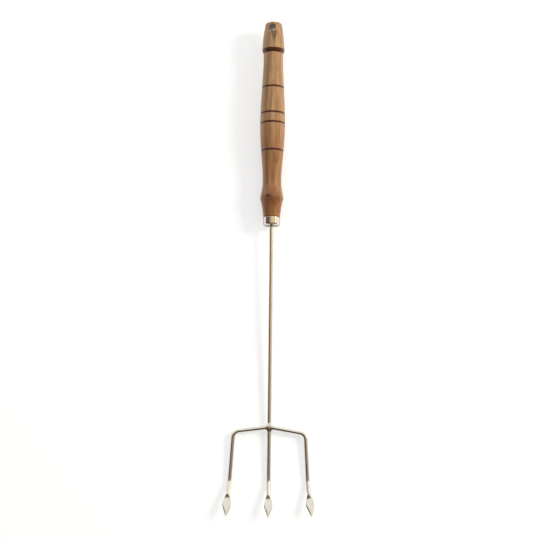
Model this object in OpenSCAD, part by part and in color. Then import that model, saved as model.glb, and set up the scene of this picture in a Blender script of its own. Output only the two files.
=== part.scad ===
// Three-pronged toasting fork: a turned wooden handle with burnt rings, a plated ferrule,
// and a steel rod with two bent side prongs brazed to it.
// It lies on a table, prongs towards -Y and handle towards +Y, on its bulb and its prongs.
// Lengths along the fork are millimetres from the end of the handle towards the tips.

/* [Handle head] */
// From the end of the handle to the widest rim of the head
head_l = 29; // [26:0.5:34]
// Diameter at the end of the head, before its edge is rounded
head_end_d = 17.6; // [17:0.1:19]
// Diameter of the head at its widest rim
head_rim_d = 23.2; // [22:0.1:25]
// Radius of the rounded edge at the end of the handle
head_edge_r = 2; // [1:0.1:3]
// Length of the burnt chamfer below the rim
head_chamfer_l = 4.2; // [2:0.1:6]

/* [Hanging hole] */
// Diameter of the hanging hole
hole_d = 8; // [5:0.1:8.5]
// From the end of the handle to the middle of the hole
hole_at = 6.6; // [6.4:0.1:12]
// How far the hole is turned round the handle, in degrees
hole_turn = 10; // [-30:1:30]

/* [Handle grip] */
// Diameter where the grip starts, below the head
grip_start_d = 20.1; // [18:0.1:21]
// From the start of the grip to the belly
belly_l = 75.3; // [65:0.1:90]
// Diameter of the belly
belly_d = 25.6; // [23:0.1:28]
// From the belly to the middle of the falling flank
flank_l = 37.5; // [33:0.1:42]
// Diameter at the middle of the flank
flank_d = 21.7; // [20.5:0.1:22.5]
// From the flank to the waist
waist_l = 24; // [20:0.1:28]
// Diameter of the waist
waist_d = 18.9; // [17.5:0.1:20]
// From the waist to the ridge of the bulb
bulb_l = 17.2; // [15:0.1:22]
// Diameter of the bulb at its ridge
bulb_d = 23.7; // [22:0.1:26]
// Radius that rounds the ridge of the bulb
bulb_edge_r = 5; // [2:0.1:7]
// From the ridge of the bulb to the ferrule
neck_l = 20.3; // [17:0.1:26]

/* [Burnt rings] */
// Width of each ring at the surface
ring_w = 1.5; // [0.8:0.1:2]
// Depth of each ring
ring_depth = 0.5; // [0.2:0.1:1]
// First ring, before the belly
first_ring = 38; // [30:0.1:50]
// Second ring, before the belly
second_ring = 10; // [6:0.1:14]
// Third ring, past the belly
third_ring = 0.5; // [0:0.1:4]
// Fourth ring, past the belly
fourth_ring = 29.4; // [24:0.1:34]

/* [Ferrule] */
// Outer diameter of the ferrule, flush with the wood
ferrule_d = 16.8; // [15.5:0.1:18]
// Length of the ferrule
ferrule_l = 8.4; // [6:0.1:12]
// Thickness of the ferrule's sheet
ferrule_wall = 0.7; // [0.4:0.1:1]
// Outside radius of the ferrule's bottom edge
ferrule_edge_r = 1.7; // [1.1:0.1:2.5]
// Gap between the ferrule and the wood inside it
ferrule_fit = 0.1; // [0.05:0.05:0.2]
// Gap between the rod and the hole in the ferrule
ferrule_hole_fit = 0.15; // [0.05:0.05:0.3]

/* [Rod] */
// Diameter of the rod that the shaft and the prongs are made of
rod_d = 4; // [3.5:0.1:4.5]
// Bare length of the shaft, from the ferrule to the cross joint
shaft_l = 204.1; // [150:0.1:260]
// Length of the tang inside the wood
tang_l = 70; // [50:1:100]
// Gap round the tang in its bore
tang_fit = 0.05; // [0.02:0.01:0.1]
// Bore left empty past the end of the tang
tang_end_gap = 1; // [0.5:0.5:5]
// Width across the fins squeezed out of the tang
fin_w = 6; // [5:0.1:7]
// Thickness of the fins
fin_t = 1.6; // [1:0.1:2.4]
// Length of the fins
fin_l = 9; // [5:1:14]
// From the end of the tang to the fins
fin_at = 22; // [10:1:30]

/* [Prongs] */
// From the cross joint to the upward bend of the prongs, along the fork
prong_l = 51.7; // [40:0.1:70]
// From the middle of the shaft to the left prong, at its corner
left_reach = 35.4; // [28:0.1:42]
// From the middle of the shaft to the right prong, at its corner
right_reach = 35.9; // [28:0.1:42]
// Slope of the left arm towards the tips, in degrees
left_slope = 7.5; // [0:0.1:15]
// Slope of the right arm towards the tips, in degrees
right_slope = 10; // [0:0.1:15]
// How far the left prong leans outwards, in degrees
left_splay = 3.6; // [0:0.1:8]
// How far the right prong leans outwards, in degrees
right_splay = 3.2; // [0:0.1:8]
// Centre-line radius of the corners
corner_r = 6.5; // [4:0.1:10]
// Upward bend near the tips, in degrees
crank = 15; // [8:0.1:20]
// Centre-line radius of the upward bend
crank_r = 10; // [6:0.1:15]
// How far the upward bend of a side prong also turns outwards, in degrees
crank_roll = 9; // [0:1:20]
// Round rod between the upward bend and the spear point of a side prong
tip_rod_l = 11.6; // [6:0.1:18]
// Extra length of the middle prong
middle_extra_l = 1; // [0:0.1:4]

/* [Spear points] */
// Length of a spear point
spear_l = 22.6; // [18:0.1:28]
// Width of a spear point
spear_w = 9.3; // [7:0.1:12]
// From the rod to the widest place of a spear point
spear_wide_at = 10.6; // [8:0.1:13]
// Thickness of a spear point
spear_t = 1.6; // [1:0.1:2.2]
// Half length of the rounding of its side corners
spear_corner_l = 1.2; // [0.6:0.1:2]
// Thickness left at the edges
spear_edge_t = 0.5; // [0.3:0.1:0.8]
// Radius of the very tip
spear_tip_r = 0.6; // [0.4:0.1:0.9]
// Length of the slope from the round rod down to the flat
spear_shoulder_l = 4.5; // [3:0.1:7]

/* [Cross joint] */
// Radius of the braze fillets in the four corners
braze_r = 3; // [2:0.1:4]
// How far the braze stands above the rods
braze_crown = 0.45; // [0.2:0.05:0.8]
// Radius of the rounded top of the braze
braze_dome_r = 11; // [9:0.5:16]
// How far the fillets run into the rods
braze_bite = 0.15; // [0.1:0.05:0.3]
// Least gap between the shaft and the root of each arm, filled by the braze
root_gap = 0.1; // [0.05:0.05:0.5]

/* [Hidden] */
$fn = 72;
rod_r = rod_d / 2;

// A bent length of rod is fatter by a hair, and the straight lengths run a little way into it
bend_swell = 0.03;
bend_overlap = 0.4;
bend_rod_r = rod_r + bend_swell;

// Places along the fork
grip_at = head_l + head_chamfer_l;
belly_at = grip_at + belly_l;
flank_at = belly_at + flank_l;
waist_at = flank_at + waist_l;
bulb_at = waist_at + bulb_l;
handle_l = bulb_at + neck_l;
ferrule_end = handle_l + ferrule_l;
tang_start = handle_l - tang_l;
joint_at = ferrule_end + shaft_l;
crank_at = joint_at + prong_l;
ring_places = [
  belly_at - first_ring,
  belly_at - second_ring,
  belly_at + third_ring,
  belly_at + fourth_ring
];

// Slopes of the handle's outline, as change of radius per millimetre
head_start_slope = 0.2;
head_rim_slope = 0.05;
chamfer_start_slope = -0.15;
chamfer_end_slope = -0.55;
flank_slope = -0.085;
bulb_rise = 0.18;
bulb_fall = -0.3;
neck_end_slope = -0.09;

// Tenon inside the ferrule
tenon_r = ferrule_d / 2 - ferrule_wall - ferrule_fit;
tenon_l = ferrule_l - ferrule_wall - ferrule_fit;
tenon_root_l = 1;
ferrule_hole_r = rod_r + ferrule_hole_fit;
bore_r = rod_r + tang_fit;

// The fork's axis falls towards the tips, because it lies on the ridge of the bulb
// and on the undersides of the three upward bends.
ridge_r = bulb_d / 2 - bulb_edge_r;
rest_run = crank_at - bulb_at;
rest_rise = ridge_r + crank_r;
rest_diff = bulb_edge_r - crank_r - bend_rod_r;
lie_angle = atan2(rest_rise, rest_run) + asin(rest_diff / norm([rest_run, rest_rise]));
lift = crank_at * sin(lie_angle) + crank_r * (1 - cos(lie_angle)) + bend_rod_r;

// The model's origin is under the middle of its box
middle_tip_l = tip_rod_l + middle_extra_l + spear_l;
tip_along = crank_at + crank_r * sin(crank) + middle_tip_l * cos(crank);
tip_up = crank_r * (1 - cos(crank)) + middle_tip_l * sin(crank);
head_flat_r = head_end_d / 2 - head_edge_r;
end_reach = head_flat_r * sin(lie_angle) + head_edge_r * (1 - cos(lie_angle));
y_shift = (tip_along * cos(lie_angle) + tip_up * sin(lie_angle) - end_reach) / 2;

// Sideways place of a side prong's spear corner, from the middle of the shaft
function spear_lean(splay) = sin(splay) * cos(crank) + sin(crank) * sin(crank_roll) * cos(splay);
function crank_side(reach, slope, splay) =
  reach + (prong_l - reach * tan(slope)) * tan(splay) + crank_r * sin(crank) * sin(splay);
function spear_side(reach, slope, splay) =
  crank_side(reach, slope, splay) + (tip_rod_l + spear_wide_at) * spear_lean(splay) + spear_w / 2;
x_shift = (spear_side(left_reach, left_slope, left_splay)
  - spear_side(right_reach, right_slope, right_splay)) / 2;

// Where an arm starts, measured along it from the middle of the shaft
function arm_start(slope) = (rod_r * (1 + sin(slope)) + root_gap) / cos(slope);

// Root of a spear point, sunk into the end of its rod
spear_root_r = 1.2;
spear_root_l = 1.5;

wood_colour = "#a07850";
chrome_colour = "#c9c6c0";

// A smooth stretch of outline between two points [radius, place] with the slopes at its ends
function blend(from, from_slope, to, to_slope, steps) =
  let (run = to[1] - from[1])
  [for (i = [1 : steps])
    let (t = i / steps)
    [(2 * t * t * t - 3 * t * t + 1) * from[0] + (3 * t * t - 2 * t * t * t) * to[0]
      + run * (from_slope * (t * t * t - 2 * t * t + t) + to_slope * (t * t * t - t * t)),
      from[1] + t * run]];

// A round stretch of outline about [radius, place], by angles from the outward radius
function turn(centre, r, from_angle, to_angle, steps) =
  [for (i = [0 : steps])
    let (a = from_angle + (to_angle - from_angle) * i / steps)
    [centre[0] + r * cos(a), centre[1] + r * sin(a)]];

// Lays a piece of the fork down: local Z runs along the fork towards the tips and local Y is up
module lay() {
  translate([x_shift, y_shift, lift])
    rotate([90 + lie_angle, 0, 0])
      children();
}

// A straight length of rod, with what follows it at its end. It runs a little way into the bends
// that it meets, by lead before its start and by tail past its end.
module straight(l, lead = bend_overlap, tail = bend_overlap) {
  translate([0, 0, -lead])
    cylinder(r = rod_r, h = lead + l + tail);
  translate([0, 0, l])
    children();
}

// A bent length of rod that turns away from local X, with what follows it at its end
module bend(r, angle) {
  translate([-r, 0, 0]) {
    rotate([90, 0, 0])
      rotate_extrude(angle = angle)
        translate([r, 0])
          circle(r = bend_rod_r);
    rotate([0, -angle, 0])
      translate([r, 0, 0])
        children();
  }
}

// Outline of a spear point as [half width, place], with its side corner rounded by a curve
function spear_outline() =
  let (
    side = spear_w / 2,
    rise = (side - spear_root_r) / (spear_wide_at + spear_root_l),
    fall = (side - spear_tip_r) / (spear_l - spear_tip_r - spear_wide_at),
    before = [side - rise * spear_corner_l, spear_wide_at - spear_corner_l],
    corner = [side, spear_wide_at],
    after = [side - fall * spear_corner_l, spear_wide_at + spear_corner_l]
  )
  concat(
    [[0, -spear_root_l], [spear_root_r, -spear_root_l]],
    [for (i = [0 : 4])
      let (t = i / 4)
      (1 - t) * (1 - t) * before + 2 * t * (1 - t) * corner + t * t * after],
    turn([0, spear_l - spear_tip_r], spear_tip_r, atan(fall), 90, 5)
  );

// A flattened spear point, thick along its middle and thin at its edges: local X is its width
module spear() {
  side = spear_w / 2;
  sag = (spear_t - spear_edge_t) / 2;
  face_r = (side * side + sag * sag) / (2 * sag);
  face_l = spear_l + 2 * spear_root_l;
  cylinder(r1 = rod_r, r2 = spear_t / 2, h = spear_shoulder_l);
  intersection() {
    rotate_extrude()
      polygon(spear_outline());
    translate([0, face_r - spear_t / 2, -2 * spear_root_l])
      cylinder(r = face_r, h = face_l + spear_root_l, $fn = 180);
    translate([0, spear_t / 2 - face_r, -2 * spear_root_l])
      cylinder(r = face_r, h = face_l + spear_root_l, $fn = 180);
  }
}

// The upward bend of a prong, its round end and its spear point
module prong_end(roll, rod_l) {
  rotate([0, 0, -90 - roll])
    bend(crank_r, crank)
      straight(rod_l, tail = 0)
        rotate([0, 0, 90])
          spear();
}

// A side prong, drawn on the +X side: arm, corner, prong and tip
module side_prong(reach, slope, splay) {
  corner = 90 - slope - splay;
  setback = corner_r * tan(corner / 2);
  arm_l = reach / cos(slope) - setback - arm_start(slope);
  corner_along = reach * tan(slope);
  run_l = (prong_l - corner_along) / cos(splay) - setback;
  translate([0, 0, joint_at])
    rotate([0, 90 - slope, 0])
      translate([0, 0, arm_start(slope)])
        straight(arm_l, lead = 0)
          bend(corner_r, corner)
            straight(run_l)
              prong_end(crank_roll, tip_rod_l);
}

// The outline of the turned wood as [radius, place], from the end of the head to the ferrule
function wood_outline() =
  let (
    edge_end = [head_end_d / 2, head_edge_r],
    rim = [head_rim_d / 2, head_l],
    grip = [grip_start_d / 2, grip_at],
    belly = [belly_d / 2, belly_at],
    flank = [flank_d / 2, flank_at],
    waist = [waist_d / 2, waist_at],
    ridge = turn([ridge_r, bulb_at], bulb_edge_r, -atan(bulb_rise), atan(-bulb_fall), 8),
    neck = [ferrule_d / 2, handle_l]
  )
  concat(
    [[0, 0]],
    turn([head_flat_r, head_edge_r], head_edge_r, -90, 0, 8),
    blend(edge_end, head_start_slope, rim, head_rim_slope, 10),
    blend(rim, chamfer_start_slope, grip, chamfer_end_slope, 4),
    blend(grip, 0, belly, 0, 16),
    blend(belly, 0, flank, flank_slope, 10),
    blend(flank, flank_slope, waist, 0, 8),
    blend(waist, 0, ridge[0], bulb_rise, 8),
    ridge,
    blend(ridge[8], bulb_fall, neck, neck_end_slope, 10)
  );

// The round body of the handle with its tenon, on local Z
module turned_wood() {
  rotate_extrude() {
    polygon(concat(wood_outline(), [[0, handle_l]]));
    translate([0, handle_l - tenon_root_l])
      square([tenon_r, tenon_root_l + tenon_l - ferrule_edge_r]);
    translate([0, handle_l + tenon_l - ferrule_edge_r])
      polygon([[0, 0], [tenon_r, 0], [tenon_r - ferrule_edge_r, ferrule_edge_r], [0, ferrule_edge_r]]);
  }
}

// Radius of the wood at a place along the grip
function wood_r(place) = lookup(place, [for (p = wood_outline()) [p[1], p[0]]]);

// A ring cut round the wood by a pointed tool
module ring_cut(place) {
  r = wood_r(place);
  rotate_extrude()
    polygon([
      [r - ring_depth, place],
      [r + ring_depth, place - ring_w],
      [r + ring_depth, place + ring_w]
    ]);
}

module handle() {
  color(wood_colour)
    lay()
      difference() {
        turned_wood();
        for (place = ring_places)
          ring_cut(place);
        translate([0, 0, hole_at])
          rotate([0, 0, hole_turn])
            rotate([90, 0, 0])
              cylinder(d = hole_d, h = 2 * head_rim_d, center = true);
        translate([0, 0, tang_start - tang_end_gap])
          cylinder(r = bore_r, h = tang_l + tang_end_gap + ferrule_l);
        translate([-fin_w / 2 - tang_fit, -fin_t / 2 - tang_fit, tang_start + fin_at - tang_fit])
          cube([fin_w + 2 * tang_fit, fin_t + 2 * tang_fit, fin_l + 2 * tang_fit]);
      }
}

// A pressed cup over the end of the wood, with a hole for the rod in its floor
module ferrule() {
  outer_r = ferrule_d / 2;
  inner_r = outer_r - ferrule_wall;
  inner_edge_r = ferrule_edge_r - ferrule_wall;
  color(chrome_colour)
    lay()
      translate([0, 0, handle_l])
        rotate_extrude()
          difference() {
            union() {
              square([outer_r, ferrule_l - ferrule_edge_r]);
              square([outer_r - ferrule_edge_r, ferrule_l]);
              translate([outer_r - ferrule_edge_r, ferrule_l - ferrule_edge_r])
                circle(r = ferrule_edge_r);
            }
            translate([0, -ferrule_wall])
              square([inner_r, ferrule_l - inner_edge_r]);
            translate([0, -ferrule_wall])
              square([inner_r - inner_edge_r, ferrule_l]);
            translate([inner_r - inner_edge_r, ferrule_l - ferrule_edge_r])
              circle(r = inner_edge_r);
            square([ferrule_hole_r, 2 * ferrule_l]);
          }
}

// One rod: finned tang, shaft, middle prong and its spear point
module shaft() {
  color(chrome_colour)
    lay()
      translate([0, 0, tang_start]) {
        translate([-fin_w / 2, -fin_t / 2, fin_at])
          cube([fin_w, fin_t, fin_l]);
        straight(crank_at - tang_start, lead = 0)
          prong_end(0, tip_rod_l + middle_extra_l);
      }
}

module left_prong() {
  color(chrome_colour)
    lay()
      mirror([1, 0, 0])
        side_prong(left_reach, left_slope, left_splay);
}

module right_prong() {
  color(chrome_colour)
    lay()
      side_prong(right_reach, right_slope, right_splay);
}

// Centre of the fillet between the shaft and an arm, as [sideways, along the fork from the joint].
// The arm leaves to +X or -X, and side is 1 for its corner towards the tips and -1 for the other.
function fillet_centre(slope, way, side) =
  let (reach = rod_r + braze_r - braze_bite)
  [way * reach, reach * tan(slope) + side * reach / cos(slope)];

// The braze's outline seen from above, a star whose points run out along the rods
module braze_outline() {
  centres = [
    fillet_centre(right_slope, 1, 1),
    fillet_centre(right_slope, 1, -1),
    fillet_centre(left_slope, -1, -1),
    fillet_centre(left_slope, -1, 1)
  ];
  difference() {
    polygon(centres);
    for (centre = centres)
      translate(centre)
        circle(r = braze_r);
  }
}

// Room for the rod of an arm in the braze, from the arm's root outwards
module arm_room(slope) {
  rotate([0, 90 - slope, 0])
    translate([0, 0, arm_start(slope)])
      cylinder(r = rod_r, h = 2 * braze_dome_r);
}

// Braze metal that joins both arms to the shaft: a four-pointed star with a low dome on each face
module braze_joint() {
  $fn = 180;
  top = rod_r + braze_crown;
  color(chrome_colour)
    lay()
      translate([0, 0, joint_at])
        difference() {
          intersection() {
            rotate([90, 0, 0])
              linear_extrude(height = 2 * top, center = true)
                braze_outline();
            translate([0, top - braze_dome_r, 0])
              sphere(r = braze_dome_r);
            translate([0, braze_dome_r - top, 0])
              sphere(r = braze_dome_r);
          }
          translate([0, 0, -braze_dome_r])
            cylinder(r = rod_r, h = 2 * braze_dome_r);
          arm_room(right_slope);
          mirror([1, 0, 0])
            arm_room(left_slope);
        }
}

handle();
ferrule();
shaft();
left_prong();
right_prong();
braze_joint();
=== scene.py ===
# %% [markdown]
# # A toasting fork, dressed piece by piece
#
# The real fork is a long-handled kitchen tool: a turned wooden handle with burnt rings, a small
# plated cup over the end of the wood, and a 4 mm steel rod that carries two brazed side prongs.
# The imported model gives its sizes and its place. This lesson dresses that model: each piece is
# built again as a fine mesh, in the same place, and gets a finish made of shader nodes.

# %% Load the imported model
import math
import bmesh
import bpy
from mathutils import Matrix, Vector


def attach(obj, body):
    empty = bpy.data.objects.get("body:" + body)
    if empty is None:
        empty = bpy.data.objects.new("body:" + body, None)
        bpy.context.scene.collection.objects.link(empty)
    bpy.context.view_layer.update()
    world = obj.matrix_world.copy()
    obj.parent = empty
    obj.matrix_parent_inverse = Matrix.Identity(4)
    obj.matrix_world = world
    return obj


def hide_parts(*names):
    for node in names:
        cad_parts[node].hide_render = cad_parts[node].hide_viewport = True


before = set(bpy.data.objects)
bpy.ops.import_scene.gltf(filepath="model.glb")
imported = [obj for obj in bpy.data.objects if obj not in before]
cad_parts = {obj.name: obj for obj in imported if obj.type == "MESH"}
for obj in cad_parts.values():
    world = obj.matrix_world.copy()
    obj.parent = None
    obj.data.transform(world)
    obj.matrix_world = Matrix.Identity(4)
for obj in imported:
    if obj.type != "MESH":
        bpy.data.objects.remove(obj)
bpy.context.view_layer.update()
print("packed nodes:", sorted(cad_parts))

# %% [markdown]
# ## The fork's own frame
#
# The fork lies on a table, and its axis falls by about two degrees from the handle to the tips.
# It is easier to shape each piece in the fork's own frame, where Z runs from the end of the
# handle to the tips and Y is up, and then to lay the finished piece down with one matrix.
# All sizes below are in millimetres, and MM turns them into Blender's metres.

# %% The matrix that lays a piece down
MM = 0.001
FALL = math.radians(90) + math.radians(1.976)
HANDLE_END = Vector((0.045, 254.038, 18.301)) * MM
LAY = Matrix.Translation(HANDLE_END) @ Matrix.Rotation(FALL, 4, "X")
ROD_R = 2.0
JOINT_AT = 420.0
CRANK_AT = 471.7
print("the joint lies at, mm:", [round(1000 * v, 1) for v in LAY @ Vector((0, 0, JOINT_AT * MM))])

# %% [markdown]
# ## The camera
#
# The photograph was taken from above, nearly square to the fork, with the camera over the tips.
# The handle therefore looks a little smaller than the prongs, and its rings curve upwards. The
# lens, the height and the tilt below come from how the rings curve and how the rod keeps its
# width, and the small roll is the lean of the fork in the picture.

# %% Camera
CAMERA_AT = Vector((-1.0, 1392.0, 519.6))
CAMERA_TILT = math.radians(10.5)
CAMERA_ROLL = 0.0114
SENSOR = 36.0
LENS_PX, FRAME_PX = 1400.0, 540.0
across = Vector((1, 0, 0))
up_in_picture = Vector((0, math.sin(CAMERA_TILT), -math.cos(CAMERA_TILT)))
back = Vector((0, math.cos(CAMERA_TILT), math.sin(CAMERA_TILT)))
rolled_up = up_in_picture * math.cos(CAMERA_ROLL) - across * math.sin(CAMERA_ROLL)
rolled_across = across * math.cos(CAMERA_ROLL) + up_in_picture * math.sin(CAMERA_ROLL)
stand = Matrix((rolled_across, rolled_up, back)).transposed().to_4x4()
stand.translation = CAMERA_AT * MM
camera = bpy.data.objects.new("camera", bpy.data.cameras.new("camera"))
camera.data.sensor_width = SENSOR
camera.data.lens = SENSOR * LENS_PX / FRAME_PX
camera.data.clip_end = 10.0
camera.matrix_world = LAY @ stand
bpy.context.collection.objects.link(camera)
bpy.context.scene.camera = camera
bpy.context.scene.view_settings.view_transform = "Standard"
print("lens, mm: %.1f" % camera.data.lens)

# %% [markdown]
# ## Helpers for finishes
#
# Colours are picked as the sRGB hex values that a paint chart would give, while Blender's shaders
# work in linear light, so one function converts them. Another adds a shader node, sets it and
# links it in one go, which keeps each material readable as a list of nodes. A mix node has more
# inputs than it shows: numbers 2 and 3 are the two numbers it mixes, 6 and 7 the two colours.

# %% Colour and node helpers
def linear(hex_value):
    """An sRGB hex colour such as "a07850" as linear red, green, blue and alpha."""
    parts = [int(hex_value[i:i + 2], 16) / 255 for i in (0, 2, 4)]
    return tuple(p / 12.92 if p <= 0.04045 else ((p + 0.055) / 1.055) ** 2.4 for p in parts) + (1.0,)


def add(tree, kind, inputs=None, stops=None, **settings):
    """Adds a node. Settings are its properties, inputs are values or sockets, stops are a ramp's."""
    made = tree.nodes.new(kind)
    for name, value in settings.items():
        setattr(made, name, value)
    for name, value in (inputs or {}).items():
        if isinstance(value, bpy.types.NodeSocket):
            tree.links.new(value, made.inputs[name])
        else:
            made.inputs[name].default_value = value
    if stops:
        ramp = made.color_ramp
        while len(ramp.elements) < len(stops):
            ramp.elements.new(0.5)
        for element, (place, colour) in zip(ramp.elements, stops):
            element.position = place
            element.color = colour if len(colour) == 4 else tuple(colour) * 4
    return made


def empty_tree(owner):
    """The node tree of a new material or world, with its first nodes taken out."""
    owner.use_nodes = True
    owner.node_tree.nodes.clear()
    return owner.node_tree


print("mid grey in linear light: %.3f" % linear("808080")[0])

# %% [markdown]
# ## The table
#
# The fork was photographed on plain white. The paper below is pale and matt, and keeps the soft
# shadow of the fork. A little light of its own brings it up to white, for the camera and also
# for what the plating mirrors, without any more light falling on the fork.

# %% Floor
PAPER_LIFT = 0.45
FLOOR_HALF = 3
corners = [(-1, -1), (1, -1), (1, 1), (-1, 1)]
floor_mesh = bpy.data.meshes.new("floor")
floor_mesh.from_pydata([(x * FLOOR_HALF, y * FLOOR_HALF, 0) for x, y in corners], [], [(0, 1, 2, 3)])
floor = bpy.data.objects.new("floor", floor_mesh)
bpy.context.collection.objects.link(floor)
white_paper = bpy.data.materials.new("white paper")
tree = empty_tree(white_paper)
paper_diffuse = add(tree, "ShaderNodeBsdfDiffuse", {"Color": linear("e6e6e6")})
seen = add(tree, "ShaderNodeLightPath").outputs
seen_or_mirrored = add(tree, "ShaderNodeMath", {0: seen["Is Camera Ray"], 1: seen["Is Glossy Ray"]},
                       operation="MAXIMUM")
seen_straight = add(tree, "ShaderNodeMath", {0: seen_or_mirrored.outputs[0], 1: seen["Is Transmission Ray"]},
                    operation="MAXIMUM")
lift = add(tree, "ShaderNodeMath", {0: seen_straight.outputs[0], 1: PAPER_LIFT}, operation="MULTIPLY")
paper_glow = add(tree, "ShaderNodeEmission", {"Strength": lift.outputs[0]})
paper_sum = add(tree, "ShaderNodeAddShader", {0: paper_diffuse.outputs[0], 1: paper_glow.outputs[0]})
add(tree, "ShaderNodeOutputMaterial", {"Surface": paper_sum.outputs[0]})
floor_mesh.materials.append(white_paper)
print("floor:", floor.name, "with", white_paper.name)

# %% [markdown]
# ## The room that the plating mirrors
#
# Plating is a mirror, so it shows the room: white card behind, cream light to the right, and
# shade to the left and in front. The world paints that room by direction. The first ramp runs
# from front to back, the second from left to right, and behind the fork all is pale.

# %% Room by direction
WINDOW_WAY = (0.84, 0.33, 0.43)
WINDOW_LIGHT = (2.6, 2.3, 1.5, 1.0)
world = bpy.data.worlds.new("studio")
bpy.context.scene.world = world
tree = empty_tree(world)
direction = add(tree, "ShaderNodeTexCoord").outputs["Generated"]
parts = add(tree, "ShaderNodeSeparateXYZ", {0: direction}).outputs
along = add(tree, "ShaderNodeMapRange", {"Value": parts["Y"], "From Min": -1.0, "From Max": 1.0})
fore_and_aft = add(tree, "ShaderNodeValToRGB", {"Fac": along.outputs[0]}, stops=[
    (0.30, linear("4a4848")), (0.44, linear("6a6866")), (0.52, linear("a09890")),
    (0.575, linear("e0caa8")), (0.66, linear("e8e4dc")), (0.72, linear("eeeeea"))])
sideways = add(tree, "ShaderNodeMapRange", {"Value": parts["X"], "From Min": -1.0, "From Max": 1.0})
left_to_right = add(tree, "ShaderNodeValToRGB", {"Fac": sideways.outputs[0]}, stops=[
    (0.16, linear("7a6668")), (0.26, linear("8a787a")), (0.40, linear("d8ccc8")),
    (0.52, linear("fff6e8")), (1.0, linear("fffaf0"))])
room = add(tree, "ShaderNodeMix", {"Factor": 1.0, 6: fore_and_aft.outputs[0], 7: left_to_right.outputs[0]},
           data_type="RGBA", blend_type="MULTIPLY")
behind = add(tree, "ShaderNodeMapRange", {"Value": parts["Y"], "From Min": 0.30, "From Max": 0.46})
pale_behind = add(tree, "ShaderNodeMix", {"Factor": behind.outputs[0], 6: room.outputs[2],
                  7: linear("eeeeea")}, data_type="RGBA")
# the window is a warm pane, bright over about 13 degrees and faded out at about 21
to_window = add(tree, "ShaderNodeVectorMath", {0: direction, 1: WINDOW_WAY}, operation="DOT_PRODUCT")
pane = add(tree, "ShaderNodeMapRange", {"Value": to_window.outputs["Value"],
           "From Min": 0.9833, "From Max": 0.9936}, interpolation_type="SMOOTHSTEP")
lit_room = add(tree, "ShaderNodeMix", {"Factor": pane.outputs[0], 6: pale_behind.outputs[2], 7: WINDOW_LIGHT},
               data_type="RGBA")
print("room:", len(tree.nodes), "nodes")

# %% [markdown]
# ## Who sees what
#
# One world serves three kinds of ray. The camera, and anything clear that it looks through, see
# plain white. Mirrors see the room. Matt surfaces get an even light, so that a colour comes out
# about as it is written.

# %% World
EVEN_LIGHT, ROOM_LIGHT, WHITE_LIGHT = 0.44, 1.1, 1.0
seen = add(tree, "ShaderNodeLightPath").outputs
plain = add(tree, "ShaderNodeBackground", {"Color": linear("ffffff"), "Strength": EVEN_LIGHT})
mirror = add(tree, "ShaderNodeBackground", {"Color": lit_room.outputs[2], "Strength": ROOM_LIGHT})
white = add(tree, "ShaderNodeBackground", {"Color": linear("ffffff"), "Strength": WHITE_LIGHT})
matt_or_mirror = add(tree, "ShaderNodeMixShader",
                     {0: seen["Is Glossy Ray"], 1: plain.outputs[0], 2: mirror.outputs[0]})
backdrop = add(tree, "ShaderNodeMath", {0: seen["Is Camera Ray"], 1: seen["Is Transmission Ray"]},
               operation="MAXIMUM")
whole = add(tree, "ShaderNodeMixShader", {0: backdrop.outputs[0], 1: matt_or_mirror.outputs[0],
            2: white.outputs[0]})
add(tree, "ShaderNodeOutputWorld", {"Surface": whole.outputs[0]})
print("world:", len(tree.nodes), "nodes")

# %% [markdown]
# ## Lamps
#
# Two soft lamps give the wood its shape: a warm one from the right, for the window, and a weak
# white one from behind. The plating already sees the window in the world, so these lamps are
# kept out of reflections, where a small bright square would look harsh.

# %% Two soft lamps
def softbox(name, place, size, watts, colour):
    """A square lamp of the given size in metres, at place, that faces the middle of the fork."""
    lamp = bpy.data.lights.new(name, "AREA")
    lamp.size = size
    lamp.energy = watts
    lamp.color = linear(colour)[:3]
    made = bpy.data.objects.new(name, lamp)
    made.location = place
    made.rotation_euler = (-Vector(place)).to_track_quat("-Z", "Y").to_euler()
    made.visible_glossy = False
    bpy.context.collection.objects.link(made)
    return made


window = softbox("window light", (1.35, 0.35, 0.80), size=0.55, watts=16.5, colour="fff4e2")
card = softbox("card light", (-0.25, 1.3, 1.0), size=0.9, watts=5.5, colour="ffffff")
print("lamps:", window.name, "and", card.name)

# %% [markdown]
# ## Two ways to make a mesh
#
# Most of this fork is either turned or drawn. A turned piece is an outline spun round the axis,
# and a drawn rod is a ring carried along a path. Spinning and sweeping by hand, instead of with
# Blender's curve bevel, gives even quads and lets the ring change shape where a rod was forged
# flat into a spear point. Corners sharper than 35 degrees stay crisp, and all else is smooth.

# %% Mesh makers
SHARP = math.radians(35)


def shade(mesh, sharp=SHARP):
    """Shades a mesh smooth, with crisp edges where its faces meet at more than the sharp angle."""
    mesh.polygons.foreach_set("use_smooth", [True] * len(mesh.polygons))
    mesh.set_sharp_from_angle(angle=sharp)


def solid(name, points, faces):
    """An object from points in the fork's frame, in mm."""
    mesh = bpy.data.meshes.new(name)
    mesh.from_pydata([Vector(p) * MM for p in points], [], faces)
    work = bmesh.new()
    work.from_mesh(mesh)
    bmesh.ops.recalc_face_normals(work, faces=work.faces)
    work.to_mesh(mesh)
    work.free()
    shade(mesh)
    made = bpy.data.objects.new(name, mesh)
    bpy.context.collection.objects.link(made)
    return made


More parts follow.
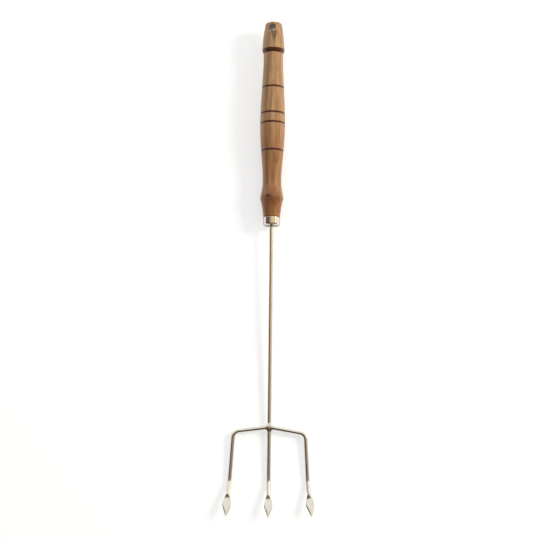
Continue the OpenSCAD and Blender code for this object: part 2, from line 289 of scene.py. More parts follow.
def turned(name, outline, sides):
    """Spins an outline of (radius, place) round the axis. A radius of nought is a single point."""
    points, rows = [], []
    for radius, place in outline:
        count = sides if radius > 0 else 1
        rows.append(list(range(len(points), len(points) + count)))
        for i in range(count):
            turn = 2 * math.pi * i / sides
            points.append((radius * math.cos(turn), radius * math.sin(turn), place))
    faces = []
    for row, below in zip(rows, rows[1:]):
        for i in range(sides):
            j = (i + 1) % sides
            quad = [row[i % len(row)], row[j % len(row)], below[j % len(below)], below[i % len(below)]]
            face = [v for n, v in enumerate(quad) if v not in quad[:n]]
            if len(face) > 2:
                faces.append(face)
    return solid(name, points, faces)


def swept(name, rings):
    """Joins rings of points, each a list of the same length, and closes both ends."""
    sides = len(rings[0])
    points = [p for ring in rings for p in ring]
    faces = [list(range(sides)), list(range(len(points) - sides, len(points)))]
    for k in range(len(rings) - 1):
        for i in range(sides):
            j = (i + 1) % sides
            faces.append([k * sides + i, k * sides + j, (k + 1) * sides + j, (k + 1) * sides + i])
    return solid(name, points, faces)


print("edges stay sharp over %.0f degrees" % math.degrees(SHARP))

# %% [markdown]
# ## Laying a piece down
#
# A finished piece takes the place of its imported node. Its points are moved to where the fork
# lies, and the object itself stays at the origin, so its box can be compared with the node's.

# %% Place of a piece
def lay_down(piece, node):
    """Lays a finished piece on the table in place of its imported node."""
    piece.data.transform(LAY)
    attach(piece, "root")
    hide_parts(node)
    print(piece.name, "has", len(piece.data.polygons), "faces")


def mark(mesh, name, values):
    """Gives each point of a mesh a number, which a material reads by its name."""
    layer = mesh.attributes.new(name, "FLOAT", "POINT")
    layer.data.foreach_set("value", values)


def smooth_step(low, high, value):
    """Rises from 0 to 1 between low and high, flat at both ends."""
    t = min(1.0, max(0.0, (value - low) / (high - low)))
    return t * t * (3 - 2 * t)


print("halfway up a smooth step: %.2f" % smooth_step(0, 1, 0.5))

# %% [markdown]
# ## The handle: turning the outline
#
# The handle was turned between centres, and the outline below names what the turner cut: a
# rounded end, a head that swells to a rim, a chamfer, a long belly, a falling flank, a waist and
# a bulb that runs down to the plated cup. Each stretch is a smooth cubic between two places,
# each written as (radius, place along the fork).

# %% Outline of the wood
HEAD_EDGE = 2.0
HEAD_END, RIM, GRIP, BELLY = (8.8, 2.0), (11.6, 29.0), (10.05, 33.2), (12.8, 108.5)
FLANK, WAIST, NECK = (10.85, 146.0), (9.45, 170.0), (8.4, 207.5)
RIDGE_R, RIDGE_AT, RIDGE_ROUND = 6.85, 187.2, 5.0
RISE, DROP = 0.18, 0.3


def arc(centre_r, centre_s, radius, start, end, steps):
    """Points (radius, place) on a round corner, from one angle to another in radians."""
    angles = [start + (end - start) * i / steps for i in range(steps + 1)]
    return [(centre_r + radius * math.cos(a), centre_s + radius * math.sin(a)) for a in angles]


def stretch(start, start_slope, end, end_slope, steps):
    """Points (radius, place) of a smooth stretch, with the slope of the radius at both ends."""
    run = end[1] - start[1]
    points = []
    for i in range(1, steps + 1):
        t = i / steps
        cubic = (2 * t ** 3 - 3 * t * t + 1) * start[0] + (3 * t * t - 2 * t ** 3) * end[0]
        bow = run * (start_slope * (t ** 3 - 2 * t * t + t) + end_slope * (t ** 3 - t * t))
        points.append((cubic + bow, start[1] + t * run))
    return points


rounded_end = arc(HEAD_END[0] - HEAD_EDGE, HEAD_EDGE, HEAD_EDGE, -math.pi / 2, 0, 9)
ridge = arc(RIDGE_R, RIDGE_AT, RIDGE_ROUND, -math.atan(RISE), math.atan(DROP), 12)
outline = (rounded_end + stretch(HEAD_END, 0.2, RIM, 0.05, 60) + stretch(RIM, -0.15, GRIP, -0.55, 16)
           + stretch(GRIP, 0, BELLY, 0, 160) + stretch(BELLY, 0, FLANK, -0.085, 80)
           + stretch(FLANK, -0.085, WAIST, 0, 50) + stretch(WAIST, 0, ridge[0], RISE, 36)
           + ridge[1:] + stretch(ridge[-1], -DROP, NECK, -0.09, 44))


def wood_radius(place):
    """Radius of the turned wood at a place along the fork, and at its ends for one beyond them."""
    for (r0, s0), (r1, s1) in zip(outline, outline[1:]):
        if s0 <= place <= s1 and s1 > s0:
            return r0 + (r1 - r0) * (place - s0) / (s1 - s0)
    return outline[0][0] if place < outline[0][1] else outline[-1][0]


print("wood: %d outline points, belly %.1f mm across" % (len(outline), 2 * wood_radius(BELLY[1])))

# %% [markdown]
# ## The handle: burnt rings and eased corners
#
# The rings were burnt by holding a wire against the turning wood, which leaves a shallow round
# groove. They are real dents in the mesh, 0.5 mm deep, so they catch light. The rim of the head
# is rounded too, because a sharp edge of wood never stays sharp.

# %% Grooves and worn edges
RINGS = (70.5, 98.5, 109.0, 137.9)
RING_HALF, RING_DEPTH, RING_ROUND = 0.8, 0.5, 1.3
WEAR = (-0.3, -0.15, 0.0, 0.15, 0.3)


def worn_radius(place):
    """The wood's radius, averaged over 0.6 mm so that its corners are eased, with its rings cut."""
    eased = sum(wood_radius(place + d) for d in WEAR) / len(WEAR)
    for ring in RINGS:
        off = abs(place - ring) / RING_HALF
        if off < 1:
            eased -= RING_DEPTH * math.cos(off * math.pi / 2) ** RING_ROUND
    return eased


print("the deepest point of a ring is %.2f mm down" % (wood_radius(RINGS[0]) - worn_radius(RINGS[0])))

# %% [markdown]
# ## The handle: rows of points
#
# Rows lie close together where the outline turns quickly, at the rim and in the rings, and
# further apart on the long curves. At its end the wood steps down to the tenon inside the cup,
# and the bore for the rod runs back into it, so the mesh is closed round the rod.

# %% Turned handle
HEAD_ROW, RIM_ROW, BODY_ROW, RING_ROW = 0.75, 0.2, 0.95, 0.13
RING_CLEAR = 1.3
LAST_ROW = 207.2
TENON_R, TENON_END, BORE_R, BORE_START = 7.6, 215.1, 2.05, 136.5
places = [HEAD_END[1] + HEAD_ROW * i for i in range(1, 34)]
places += [27.5 + RIM_ROW * i for i in range(36)]
places += [34.8 + BODY_ROW * i for i in range(182)]
for ring in RINGS:
    places = [p for p in places if abs(p - ring) > RING_CLEAR]
    places += [ring + RING_ROW * i for i in range(-8, 9)]
places = sorted(p for p in places if p < LAST_ROW)
end_of_wood = [(NECK[0] - 0.03, NECK[1] - 0.15), (NECK[0] - 0.15, NECK[1]), (TENON_R, NECK[1])]
inside = [(TENON_R, TENON_END), (BORE_R, TENON_END), (BORE_R, BORE_START), (0, BORE_START)]
rows = [(0, 0)] + rounded_end + [(worn_radius(p), p) for p in places] + end_of_wood + inside
handle = turned("turned_handle", rows, sides=160)
print("handle: %d rows of points" % len(rows))

# %% [markdown]
# ## The handle: drilling the hanging hole
#
# The hole was drilled right through the head after turning, and its edge was eased with
# sandpaper. A plain cylinder would leave a knife edge, so the cutter flares where it leaves the
# wood. How far along the drill that happens follows from the radius of the head at each place.

# %% Hanging hole
HOLE_R, HOLE_AT, HOLE_TURN, HOLE_SIDES = 4.0, 6.6, math.radians(10), 96
EASE = 0.25
DEEP, OUTSIDE, OUTSIDE_FLARE = -6.0, 1.5, 1.2
drill = Vector((-math.sin(HOLE_TURN), math.cos(HOLE_TURN), 0))
along_fork = Vector((0, 0, 1))
beside = drill.cross(along_fork)


def cutter_ring(side, out, flare):
    """A ring of the cutter on one side of the wood, out mm from its surface and flare mm wider."""
    ring = []
    for i in range(HOLE_SIDES):
        turn = 2 * math.pi * i / HOLE_SIDES
        head_r = wood_radius(max(HOLE_AT + HOLE_R * math.cos(turn), HEAD_END[1]))
        surface = math.sqrt(head_r ** 2 - (HOLE_R * math.sin(turn)) ** 2)
        radius = HOLE_R + flare
        centre = along_fork * (HOLE_AT + radius * math.cos(turn)) + beside * (radius * math.sin(turn))
        ring.append(centre + drill * side * (surface + out))
    return ring


easing = [math.radians(v) for v in range(0, 91, 15)]
levels = [(DEEP, 0.0)] + [(-EASE * (1 - math.sin(a)), EASE * (1 - math.cos(a))) for a in easing]
levels.append((OUTSIDE, EASE + OUTSIDE_FLARE))
lower = [cutter_ring(-1, out, flare) for out, flare in reversed(levels)]
upper = [cutter_ring(1, out, flare) for out, flare in levels]
cutter = swept("cutter", lower + upper)
bore = handle.modifiers.new("bore", "BOOLEAN")
bore.object = cutter
bore.operation = "DIFFERENCE"
bore.solver = "EXACT"
drilled = bpy.data.meshes.new_from_object(handle.evaluated_get(bpy.context.evaluated_depsgraph_get()))
handle.modifiers.clear()
handle.data = drilled
bpy.data.objects.remove(cutter)
shade(drilled)
print("drilled handle:", len(drilled.vertices), "points")

# %% [markdown]
# ## The handle: scorch, painted shade and a streak
#
# Scorch, painted shade and a darker streak lie in known places, so each point of the mesh
# carries how much of each it has. Rings and chamfer are scorched, and the edge of the wood at
# the cup gets painted shade. The inside of the hanging hole gets painted shade that deepens
# with depth, and a darker streak runs from the hole down the head, stronger on its upper side.
# The material mixes them with fine noise, which keeps them ragged.

# %% Scorch, painted shade and streak on each point
RING_SCORCH = 1.15
BORE_REACH = 14
HOLE_STREAK_X, HOLE_STREAK_TOP_HALF, HOLE_STREAK_NARROWS = 0.4, 4.2, 2.4
scorch_and_cup_shade, bore_shade_and_streak = [], []
for point in drilled.vertices:
    x, y, s = point.co / MM
    near_ring = max(math.exp(-((s - ring) / RING_SCORCH) ** 2) for ring in RINGS)
    on_chamfer = smooth_step(28.7, 29.3, s) * (1 - smooth_step(32.9, 33.7, s))
    # painted shade on the edge of the wood where it meets the cup, carried in the scorch mark
    painted_cup_shade = 0.8 * smooth_step(206.2, 207.3, s)
    scorch_and_cup_shade.append(max(near_ring, on_chamfer, painted_cup_shade))
    # painted shade inside the hanging hole, darker with depth below the surface
    depth = wood_radius(max(s, HEAD_END[1])) - math.hypot(x, y)
    painted_bore_shade = smooth_step(0.5, 3.0, depth) if s < BORE_REACH else 0.0
    # a darker streak runs from the hole down the head, stronger on the upper side
    hole_streak_half = HOLE_STREAK_TOP_HALF - HOLE_STREAK_NARROWS * smooth_step(9, 24, s)
    hole_streak_across = 1 - smooth_step(0.4, 1.0, abs(x - HOLE_STREAK_X) / hole_streak_half)
    hole_streak_along = smooth_step(9.0, 11.5, s) * (1 - smooth_step(17, 25, s))
    bore_shade_and_streak.append(max(painted_bore_shade, (0.85 if y > 0 else 0.3) * hole_streak_across * hole_streak_along))
mark(drilled, "scorch_and_cup_shade", scorch_and_cup_shade)
mark(drilled, "bore_shade_and_streak", bore_shade_and_streak)
print("scorched points:", sum(v > 0.5 for v in scorch_and_cup_shade), "stained points:", sum(v > 0.3 for v in bore_shade_and_streak))

# %% [markdown]
# ## Stained beech: the grain
#
# The handle looks like beech, stained mid brown and varnished. Beech gives the eye fine straight
# fibres with short dark flecks, and growth rings that are only a shade darker. The growth rings
# are a real solid: distances from the heart of the tree, which lies below and beside the handle,
# so they run into long arches on the belly. The knot on the bulb pushes them aside.
#
# Each pattern below has so many patches to the metre, first across the fork and then along it.
# 2000 and 50 make fibres 0.5 mm wide and 20 mm long, a little coarser than real ones, so that
# they show.

# %% Grain
def grain(patches_across, patches_along):
    """The scale of a noise with so many patches to the metre, across the fork and along it."""
    return (patches_across, patches_across, patches_along)


def fork_place(tree):
    """Adds nodes that give a point's place in the fork's own frame, in metres."""
    lying = add(tree, "ShaderNodeTexCoord").outputs["Object"]
    return add(tree, "ShaderNodeMapping", {"Vector": lying, "Location": HANDLE_END, "Rotation": (FALL, 0, 0)},
               vector_type="TEXTURE").outputs[0]


KNOT = Vector((-3.4, 11.3, 186.6)) * MM
KNOT_REACH, KNOT_PUSH = 9 * MM, 4.5 * MM
HEART = Vector((-14, -34, 0)) * MM
RING_GAP, WANDER = 1.7 * MM, 3.2 * MM
wood = bpy.data.materials.new("stained beech under satin varnish")
tree = empty_tree(wood)
place = fork_place(tree)
from_knot = add(tree, "ShaderNodeVectorMath", {0: place, 1: KNOT}, operation="DISTANCE")
near_knot = add(tree, "ShaderNodeMapRange", {"Value": from_knot.outputs["Value"], "From Max": KNOT_REACH,
                "To Min": 1.0, "To Max": 0.0}, interpolation_type="SMOOTHERSTEP")
wander_place = add(tree, "ShaderNodeMapping", {"Vector": place, "Scale": grain(120, 25)})
wander = add(tree, "ShaderNodeTexNoise", {"Vector": wander_place.outputs[0], "Scale": 1.0, "Detail": 2.0})
from_heart = add(tree, "ShaderNodeVectorMath", {0: place, 1: HEART}, operation="SUBTRACT")
flat = add(tree, "ShaderNodeVectorMath", {0: from_heart.outputs[0], 1: (1, 1, 0.03)}, operation="MULTIPLY")
heart_far = add(tree, "ShaderNodeVectorMath", {0: flat.outputs[0]}, operation="LENGTH")
wandered = add(tree, "ShaderNodeMath", {0: wander.outputs["Fac"], 1: WANDER, 2: heart_far.outputs["Value"]},
               operation="MULTIPLY_ADD")
pushed = add(tree, "ShaderNodeMath", {0: near_knot.outputs[0], 1: KNOT_PUSH, 2: wandered.outputs[0]},
             operation="MULTIPLY_ADD")
years = add(tree, "ShaderNodeMath", {0: pushed.outputs[0], 1: RING_GAP}, operation="DIVIDE")
part_of_year = add(tree, "ShaderNodeMath", {0: years.outputs[0]}, operation="FRACT")
growth = add(tree, "ShaderNodeValToRGB", {"Fac": part_of_year.outputs[0]}, stops=[
    (0.0, (0.35,)), (0.12, (0.52,)), (0.60, (0.60,)), (0.86, (0.42,)), (1.0, (0.35,))])
fibre_place = add(tree, "ShaderNodeMapping", {"Vector": place, "Scale": grain(2000, 50)})
fibre = add(tree, "ShaderNodeTexNoise", {"Vector": fibre_place.outputs[0], "Scale": 1.0, "Detail": 3.0})
print("growth rings: %.1f mm apart" % (RING_GAP / MM))

# %% [markdown]
# ## Stained beech: the colours
#
# Broad streaks and short flecks join the rings and fibres, and one ramp turns them all into
# browns. The lower handle is redder and darker, and the bulb darkest.

# %% Wood colours
streak_place = add(tree, "ShaderNodeMapping", {"Vector": place, "Scale": grain(330, 14),
                   "Location": (0.3, 0.1, 0.7)})
streak = add(tree, "ShaderNodeTexNoise", {"Vector": streak_place.outputs[0], "Scale": 1.0, "Detail": 2.0})
fine = add(tree, "ShaderNodeMix", {"Factor": 0.42, 2: growth.outputs[0], 3: fibre.outputs["Fac"]},
           data_type="FLOAT")
figure = add(tree, "ShaderNodeMix", {"Factor": 0.45, 2: fine.outputs[0], 3: streak.outputs["Fac"]},
             data_type="FLOAT")
browns = add(tree, "ShaderNodeValToRGB", {"Fac": figure.outputs[0]}, stops=[
    (0.30, linear("7e5c3c")), (0.44, linear("9c7852")), (0.54, linear("b4916a")), (0.68, linear("cdaa82"))])
height = add(tree, "ShaderNodeSeparateXYZ", {0: place})
down = add(tree, "ShaderNodeMapRange", {"Value": height.outputs["Z"], "From Min": 0.0, "From Max": 207 * MM})
tone = add(tree, "ShaderNodeValToRGB", {"Fac": down.outputs[0]}, stops=[
    (0.0, linear("fff6ec")), (0.50, linear("fff4ea")), (0.62, linear("f0d8c4")), (0.86, linear("ecd2ba")),
    (0.93, linear("d2ac88")), (1.0, linear("e6c298"))])
toned = add(tree, "ShaderNodeMix", {"Factor": 1.0, 6: browns.outputs[0], 7: tone.outputs[0]},
            data_type="RGBA", blend_type="MULTIPLY")
fleck_place = add(tree, "ShaderNodeMapping", {"Vector": place, "Scale": grain(3000, 330)})
fleck = add(tree, "ShaderNodeTexNoise", {"Vector": fleck_place.outputs[0], "Scale": 1.0, "Detail": 1.0})
fleck_mask = add(tree, "ShaderNodeMapRange", {"Value": fleck.outputs["Fac"], "From Min": 0.62,
                 "From Max": 0.74, "To Max": 0.35})
flecked = add(tree, "ShaderNodeMix", {"Factor": fleck_mask.outputs[0], 6: toned.outputs[2],
              7: linear("6e4a2e")}, data_type="RGBA")
print("wood so far:", len(tree.nodes), "nodes")

# %% [markdown]
# ## Stained beech: knot, scorch and painted shade
#
# The knot is a dark eye, wider than it is long. Scorch, painted shade and the streak come from
# the points of the mesh. The fibres break up the painted shade in the hole and the streak, and
# noise about a millimetre across frays the scorch and the painted shade at the cup.

# %% Marks on the wood
knot_way = add(tree, "ShaderNodeVectorMath", {0: place, 1: KNOT}, operation="SUBTRACT")
knot_wide = add(tree, "ShaderNodeVectorMath", {0: knot_way.outputs[0], 1: (0.65, 0.65, 1.3)},
                operation="MULTIPLY")
knot_far = add(tree, "ShaderNodeVectorMath", {0: knot_wide.outputs[0]}, operation="LENGTH")
eye = add(tree, "ShaderNodeMapRange", {"Value": knot_far.outputs["Value"], "From Min": 0.6 * MM,
          "From Max": 3.2 * MM, "To Min": 0.9, "To Max": 0.0}, interpolation_type="SMOOTHSTEP")
knotted = add(tree, "ShaderNodeMix", {"Factor": eye.outputs[0], 6: flecked.outputs[2], 7: linear("3c2210")},
              data_type="RGBA")
# painted shade inside the hole, and the darker streak below it, darken the wood here
bore_shade_and_streak_amount = add(tree, "ShaderNodeAttribute", attribute_name="bore_shade_and_streak").outputs["Fac"]
bore_shade_and_streak_in_fibres = add(tree, "ShaderNodeMath", {0: bore_shade_and_streak_amount, 1: fibre.outputs["Fac"], 2: bore_shade_and_streak_amount},
                     operation="MULTIPLY_ADD")
bore_shade_and_streak_mask = add(tree, "ShaderNodeMath", {0: bore_shade_and_streak_in_fibres.outputs[0], 1: 0.58}, operation="MULTIPLY",
                use_clamp=True)
bore_shaded_and_streaked = add(tree, "ShaderNodeMix", {"Factor": bore_shade_and_streak_mask.outputs[0], 6: knotted.outputs[2],
            7: linear("5a3a29")}, data_type="RGBA")
# scorch on the rings and chamfer, with the painted shade where the wood meets the cup
char_and_cup_shade_amount = add(tree, "ShaderNodeAttribute", attribute_name="scorch_and_cup_shade").outputs["Fac"]
frayed_place = add(tree, "ShaderNodeMapping", {"Vector": place, "Scale": grain(900, 900)})
frayed = add(tree, "ShaderNodeTexNoise", {"Vector": frayed_place.outputs[0], "Scale": 1.0, "Detail": 3.0})
frayed_char_and_cup_shade = add(tree, "ShaderNodeMath", {0: frayed.outputs["Fac"], 1: 0.5, 2: char_and_cup_shade_amount},
                  operation="MULTIPLY_ADD")
char_and_cup_shade_mask = add(tree, "ShaderNodeMapRange", {"Value": frayed_char_and_cup_shade.outputs[0], "From Min": 0.55,
                "From Max": 0.85, "To Max": 0.96}, interpolation_type="SMOOTHSTEP")
char_and_cup_shade_colour = add(tree, "ShaderNodeMix", {"Factor": frayed.outputs["Fac"], 6: linear("2c0e04"), 7: linear("5a2610")},
           data_type="RGBA")
colour = add(tree, "ShaderNodeMix", {"Factor": char_and_cup_shade_mask.outputs[0], 6: bore_shaded_and_streaked.outputs[2], 7: char_and_cup_shade_colour.outputs[2]},
             data_type="RGBA")
print("wood so far:", len(tree.nodes), "nodes")

# %% [markdown]
# ## Satin varnish
#
# Satin varnish makes soft, wide reflections, and a thin coat of it lies over the stained wood.
# The coat is thinner where the painted shade in the hole and the streak lie. The fibres stand up
# by a few hundredths of a millimetre.

# %% Varnish
gloss = add(tree, "ShaderNodeMapRange", {"Value": fibre.outputs["Fac"], "From Min": 0.3, "From Max": 0.7,
            "To Min": 0.36, "To Max": 0.48})
coat = add(tree, "ShaderNodeMapRange", {"Value": bore_shade_and_streak_mask.outputs[0], "From Max": 0.6, "To Min": 0.22,
           "To Max": 0.0})
raised = add(tree, "ShaderNodeBump", {"Strength": 0.35, "Distance": 0.08 * MM, "Height": fine.outputs[0]})
varnished = add(tree, "ShaderNodeBsdfPrincipled", {
    "Base Color": colour.outputs[2], "Roughness": gloss.outputs[0], "IOR": 1.5,
    "Coat Weight": coat.outputs[0], "Coat Roughness": 0.28, "Normal": raised.outputs[0]})
add(tree, "ShaderNodeOutputMaterial", {"Surface": varnished.outputs[0]})
drilled.materials.clear()
drilled.materials.append(wood)
lay_down(handle, "handle")

# %% [markdown]
# ## Plated steel
#
# The rod is drawn steel wire with a bright plate. Plating shows the room in its reflections, so
# its colour is nearly all light from around it, and it darkens a little towards its edges.
# Drawing leaves faint lines along the rod, the hammer leaves shallow dents on the spear points,
# and years of use leave patches about 6 mm across that are duller.

# %% Plated steel material
plate = bpy.data.materials.new("chrome plated steel")
tree = empty_tree(plate)
place = fork_place(tree)
patch_place = add(tree, "ShaderNodeMapping", {"Vector": place, "Scale": grain(170, 170)})
patch = add(tree, "ShaderNodeTexNoise", {"Vector": patch_place.outputs[0], "Scale": 1.0, "Detail": 4.0})
dull = add(tree, "ShaderNodeMapRange", {"Value": patch.outputs["Fac"], "From Min": 0.35, "From Max": 0.70,
           "To Min": 0.09, "To Max": 0.24})
tint = add(tree, "ShaderNodeMix", {"Factor": patch.outputs["Fac"], 6: linear("f4f1ee"), 7: linear("e2dcd2")},
           data_type="RGBA")
hammer_place = add(tree, "ShaderNodeMapping", {"Vector": place, "Scale": grain(420, 420)})
hammer = add(tree, "ShaderNodeTexNoise", {"Vector": hammer_place.outputs[0], "Scale": 1.0, "Detail": 1.5})
forged = add(tree, "ShaderNodeAttribute", attribute_name="forged")
hammered = add(tree, "ShaderNodeMath", {0: hammer.outputs["Fac"], 1: forged.outputs["Fac"]},
               operation="MULTIPLY")
dents = add(tree, "ShaderNodeBump", {"Strength": 0.6, "Distance": 0.12 * MM, "Height": hammered.outputs[0]})
line_place = add(tree, "ShaderNodeMapping", {"Vector": place, "Scale": grain(6500, 65)})
line = add(tree, "ShaderNodeTexNoise", {"Vector": line_place.outputs[0], "Scale": 1.0, "Detail": 2.0})
drawn = add(tree, "ShaderNodeBump", {"Strength": 0.15, "Distance": 0.01 * MM, "Height": line.outputs["Fac"],
            "Normal": dents.outputs[0]})
plated = add(tree, "ShaderNodeBsdfPrincipled", {
    "Base Color": tint.outputs[2], "Metallic": 1.0, "Roughness": dull.outputs[0],
    "Specular Tint": linear("a8a09c"), "Normal": drawn.outputs[0]})
add(tree, "ShaderNodeOutputMaterial", {"Surface": plated.outputs[0]})
print(plate.name, "has", len(tree.nodes), "nodes")

# %% [markdown]
# ## The cup over the end of the wood
#
# The cup, or ferrule, keeps the end of the wood from splitting. It was pressed from thin sheet,
# so all its edges are round and it is hollow, with a hole in its floor for the rod. It is turned
# here from its cross-section: down the outside, through the hole and back up the inside.

# %% Ferrule
CUP_R, CUP_TOP, CUP_END, CUP_WALL, CUP_EDGE = 8.4, 207.5, 215.9, 0.7, 1.7
CUP_LIP, ROD_HOLE_R, ROD_HOLE_LIP = 0.25, 2.15, 0.2
QUARTER = math.pi / 2
corner_r, corner_s = CUP_R - CUP_EDGE, CUP_END - CUP_EDGE
outer = arc(CUP_R - CUP_LIP, CUP_TOP + CUP_LIP, CUP_LIP, -QUARTER, 0, 4)
outer += [(CUP_R, CUP_TOP + 0.6), (CUP_R, corner_s - 0.3)]
outer += arc(corner_r, corner_s, CUP_EDGE, 0, QUARTER, 14)
outer += [(5.0, CUP_END), (2.5, CUP_END - 0.02)]
rod_hole = arc(ROD_HOLE_R + ROD_HOLE_LIP, CUP_END - CUP_LIP, ROD_HOLE_LIP, QUARTER, 2 * QUARTER, 4)
inner = [(ROD_HOLE_R, CUP_END - CUP_WALL), (corner_r, CUP_END - CUP_WALL)]
inner += arc(corner_r, corner_s, CUP_EDGE - CUP_WALL, QUARTER, 0, 6)[1:]
inner += [(CUP_R - CUP_WALL, CUP_TOP), (CUP_R - CUP_LIP, CUP_TOP)]
ferrule = turned("ferrule_cup", outer + rod_hole + inner, sides=128)
ferrule.data.materials.append(plate)
lay_down(ferrule, "ferrule")

# %% [markdown]
# ## The rods: a path and a ring
#
# Each rod is followed as a maker bends it: so far straight, then a bend, then straight again.
# A small class walks along the rod with a matrix and drops a ring of points at each step. The
# ring is round on the rod. At the tip it turns into the flat, pointed section of the spear.

# %% Walking along a rod
SIDES = 40


def section(half_width, half_thickness, square):
    """A ring of points: an ellipse, or with square above 1 a flatter slab with round edges."""
    ring = []
    for i in range(SIDES):
        turn = 2 * math.pi * i / SIDES
        c, s = math.cos(turn), math.sin(turn)
        x = half_width * math.copysign(abs(c) ** (1 / square), c)
        y = half_thickness * math.copysign(abs(s) ** (1 / square), s)
        ring.append(Vector((x, y, 0)))
    return ring


class Rod:
    """Collects rings while it walks along a rod from a starting matrix."""

    def __init__(self, start):
        self.at = start
        self.rings = []
        self.forged = []

    def drop(self, half_width=ROD_R, half_thickness=ROD_R, square=1.0, forged=0.0, aside=0.0):
        """Drops one ring here, moved aside across the rod and marked by how much it is forged."""
        ring = section(half_width, half_thickness, square)
        self.rings.append([self.at @ (p + Vector((aside, 0, 0))) for p in ring])
        self.forged += [forged] * SIDES

    def straight(self, length, step=3.0):
        """Walks straight on, with a ring about every step mm."""
        steps = max(1, round(length / step))
        for _ in range(steps):
            self.at = self.at @ Matrix.Translation((0, 0, length / steps))
            self.drop()

    def bend(self, radius, degrees, towards, step=3.0):
        """Bends towards a direction across the rod, given as an angle from its local X."""
        steps = max(4, round(degrees / step))
        aim = Matrix.Rotation(math.radians(towards), 4, "Z")
        turn = (Matrix.Translation((radius, 0, 0)) @ Matrix.Rotation(math.radians(degrees / steps), 4, "Y")
                @ Matrix.Translation((-radius, 0, 0)))
        for _ in range(steps):
            self.at = self.at @ aim @ turn @ aim.inverted()
            self.drop()


print("a ring has", len(section(ROD_R, ROD_R, 1.0)), "points")

# %% [markdown]
# ## The spear points
#
# The smith flattened the end of each rod and ground it to a leaf: it spreads to its widest place
# a little before the middle and then runs straight to a small round tip. It also gets thinner
# towards the tip. Nothing made by hammer is quite straight, so each point leans a little aside.

# %% Spear point
SPEAR_L, SPEAR_HALF, WIDE_AT, SPEAR_HALF_T, TIP_R = 22.6, 4.65, 10.6, 0.8, 0.6
SPREAD_POWER = 1.08
WORN_CORNER, CORNER_SPAN = 0.28, 0.9
FLAT_FROM, FLAT_TO, SLAB = 0.2, 5.2, 0.22
THIN_FROM, THIN_BY, BLUNT, LAST_HALF = 14, 0.45, 0.35, 0.02


def spear_half_width(z, fuller):
    """Half the width of a spear point z mm from its root. A fuller one has rounder sides."""
    if z > SPEAR_L - TIP_R:
        return math.sqrt(max(0.0, TIP_R ** 2 - (z - SPEAR_L + TIP_R) ** 2)) + LAST_HALF
    if z < WIDE_AT:
        half = ROD_R + (SPEAR_HALF - ROD_R) * (z / WIDE_AT) ** SPREAD_POWER
        half += fuller * math.sin(math.pi * z / WIDE_AT)
    else:
        t = min((z - WIDE_AT) / (SPEAR_L - TIP_R - WIDE_AT), 1.0)
        half = SPEAR_HALF + (TIP_R - SPEAR_HALF) * t + fuller * 0.6 * math.sin(math.pi * t)
    return half - WORN_CORNER * math.exp(-((z - WIDE_AT) / CORNER_SPAN) ** 2)


def spear(rod, lean, fuller=0.0):
    """Forges the last stretch of a rod into a spear point that ends lean millimetres to the side."""
    stations = [0.4 * i for i in range(1, 52)] + [20.9 + 0.2 * i for i in range(6)]
    stations += [22.1, 22.3, 22.45, 22.55, SPEAR_L]
    root = rod.at
    for z in stations:
        half = spear_half_width(z, fuller)
        flat = smooth_step(FLAT_FROM, FLAT_TO, z)
        thick = ROD_R + (SPEAR_HALF_T - ROD_R) * flat
        thick *= 1 - THIN_BY * smooth_step(THIN_FROM, SPEAR_L, z)
        thick = min(thick, BLUNT + half)
        rod.at = root @ Matrix.Translation((0, 0, z))
        rod.drop(half, thick, 1.0 + SLAB * flat, smooth_step(1, 5, z), lean * (z / SPEAR_L) ** 2)


print("a spear point is %.1f mm wide" % (2 * spear_half_width(WIDE_AT, 0.0)))

# %% [markdown]
# ## The shaft and the middle prong
#
# One rod runs from inside the wood to the middle spear point. It starts with a small chamfer,
# and near its end it is cranked up by 15 degrees, so that bread slides on without the prongs
# lifting it off the table.

# %% Shaft
TANG_AT, TANG_CHAMFER = 137.5, 0.4
TIP_ROD, MIDDLE_EXTRA, CRANK, CRANK_R = 11.6, 0.9, 15.0, 10.0


def rod_piece(name, rod, node, mirrored=False):
    """Makes the rod's mesh from its rings, plates it and lays it down in place of its node."""
    flip = Matrix.Scale(-1, 4, (1, 0, 0)) if mirrored else Matrix.Identity(4)
    piece = swept(name, [[flip @ p for p in ring] for ring in rod.rings])
    mark(piece.data, "forged", rod.forged)
    piece.data.materials.append(plate)
    lay_down(piece, node)


shaft_rod = Rod(Matrix.Translation((0, 0, TANG_AT)))
shaft_rod.drop(ROD_R - TANG_CHAMFER, ROD_R - TANG_CHAMFER)
shaft_rod.at = Matrix.Translation((0, 0, TANG_AT + TANG_CHAMFER))
shaft_rod.drop()
shaft_rod.straight(CRANK_AT - TANG_AT - TANG_CHAMFER, 4.0)
shaft_rod.bend(CRANK_R, CRANK, 90)
shaft_rod.straight(TIP_ROD + MIDDLE_EXTRA)
spear(shaft_rod, lean=-0.3)
rod_piece("shaft_rod", shaft_rod, "shaft")

# %% [markdown]
# ## The side prongs
#
# Each side prong leaves the shaft almost square, turns a corner of 6.5 mm and runs down beside
# the middle prong, leaning out by a few degrees. Each has its own slope, lean and spear point.
# The left one is bent to the right like the other, and then flipped over as in a mirror.

# %% Side prongs
CORNER_R, ROOT_GAP, PRONG_L, ROLL = 6.5, 0.1, 51.7, 9
LEFT_SLOPE, RIGHT_SLOPE = 7.5, 10.0


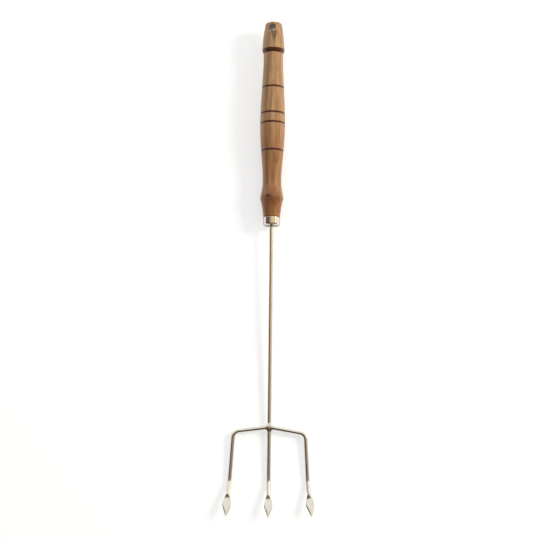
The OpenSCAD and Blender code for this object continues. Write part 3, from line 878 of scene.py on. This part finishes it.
def side_rod(reach, slope, splay, lean, fuller):
    """Walks along a side prong: its reach in mm, its slope and splay in degrees, and its tip."""
    slope_a, splay_a = math.radians(slope), math.radians(splay)
    arm_start = (ROD_R * (1 + math.sin(slope_a)) + ROOT_GAP) / math.cos(slope_a)
    corner = 90 - slope - splay
    setback = CORNER_R * math.tan(math.radians(corner) / 2)
    rod = Rod(Matrix.Translation((0, 0, JOINT_AT)) @ Matrix.Rotation(math.radians(90 - slope), 4, "Y")
              @ Matrix.Translation((0, 0, arm_start)))
    rod.drop()
    rod.straight(reach / math.cos(slope_a) - setback - arm_start)
    rod.bend(CORNER_R, corner, 180, 4.0)
    rod.straight((PRONG_L - reach * math.tan(slope_a)) / math.cos(splay_a) - setback)
    rod.bend(CRANK_R, CRANK, 90 - ROLL)
    rod.straight(TIP_ROD)
    spear(rod, lean, fuller)
    return rod


left_rod = side_rod(reach=35.4, slope=LEFT_SLOPE, splay=3.6, lean=-0.6, fuller=0.35)
right_rod = side_rod(reach=35.9, slope=RIGHT_SLOPE, splay=3.2, lean=0.5, fuller=0.0)
rod_piece("left_prong_rod", left_rod, "left_prong", mirrored=True)
rod_piece("right_prong_rod", right_rod, "right_prong")

# %% [markdown]
# ## The brazed joint: a field
#
# Where the three rods meet, molten braze crept into the corners and left a smooth web, with a
# low crown over the crossing. Such a shape is easiest to describe as a field: the distance to
# the nearest rod, with a soft minimum that rounds the corners.

# %% Braze field
WEB, CROWN, CROWN_FALL, CROWN_BLEND, REACH = 3.4, 0.45, 0.02, 0.5, 6.2
PROUD, PROUD_REACH = 0.05, 4.5
right_a, left_a = math.radians(RIGHT_SLOPE), math.radians(LEFT_SLOPE)
ARM_RIGHT = Vector((math.cos(right_a), 0, math.sin(right_a)))
ARM_LEFT = Vector((-math.cos(left_a), 0, math.sin(left_a)))


def soft_min(a, b, blend):
    """The smaller of two values, rounded where they are closer together than blend."""
    h = max(blend - abs(a - b), 0.0) / blend
    return min(a, b) - h * h * blend / 4


def braze_field(p):
    """Below nought inside the braze: rods joined by webs, under a crown and within its reach."""
    rod_r = ROD_R + PROUD * (1 - (p.length / PROUD_REACH) ** 2)
    arm = ARM_RIGHT if p.x > 0 else ARM_LEFT
    to_shaft = math.hypot(p.x, p.y) - rod_r
    to_arm = (p - arm * max(p.dot(arm), 0.0)).length - rod_r
    webbed = soft_min(to_shaft, to_arm, WEB)
    crown = abs(p.y) - (ROD_R + CROWN - CROWN_FALL * (p.x * p.x + p.z * p.z))
    capped = -soft_min(-webbed, -crown, CROWN_BLEND)
    return max(capped, p.length - REACH)


print("in the middle the field is %.2f mm" % braze_field(Vector((0, 0, 0))))

# %% [markdown]
# ## The brazed joint: its skin
#
# A ball of points is pushed out along rays from the middle until each one meets the field's
# surface, which halving the step 22 times finds closely enough. Towards its reach the braze
# sinks into the rods, so no edge of it shows on them.

# %% Braze
HALVINGS = 22
ball = bmesh.new()
bmesh.ops.create_icosphere(ball, subdivisions=6, radius=1.0)
for vertex in ball.verts:
    ray = vertex.co.normalized()
    low, high = 0.5, REACH + 0.5
    for _ in range(HALVINGS):
        middle = (low + high) / 2
        if braze_field(ray * middle) < 0:
            low = middle
        else:
            high = middle
    vertex.co = (ray * low + Vector((0, 0, JOINT_AT))) * MM
braze_mesh = bpy.data.meshes.new("brazed_joint")
ball.to_mesh(braze_mesh)
ball.free()
shade(braze_mesh, sharp=math.radians(50))
braze_mesh.materials.append(plate)
braze = bpy.data.objects.new("brazed_joint", braze_mesh)
bpy.context.collection.objects.link(braze)
lay_down(braze, "braze_joint")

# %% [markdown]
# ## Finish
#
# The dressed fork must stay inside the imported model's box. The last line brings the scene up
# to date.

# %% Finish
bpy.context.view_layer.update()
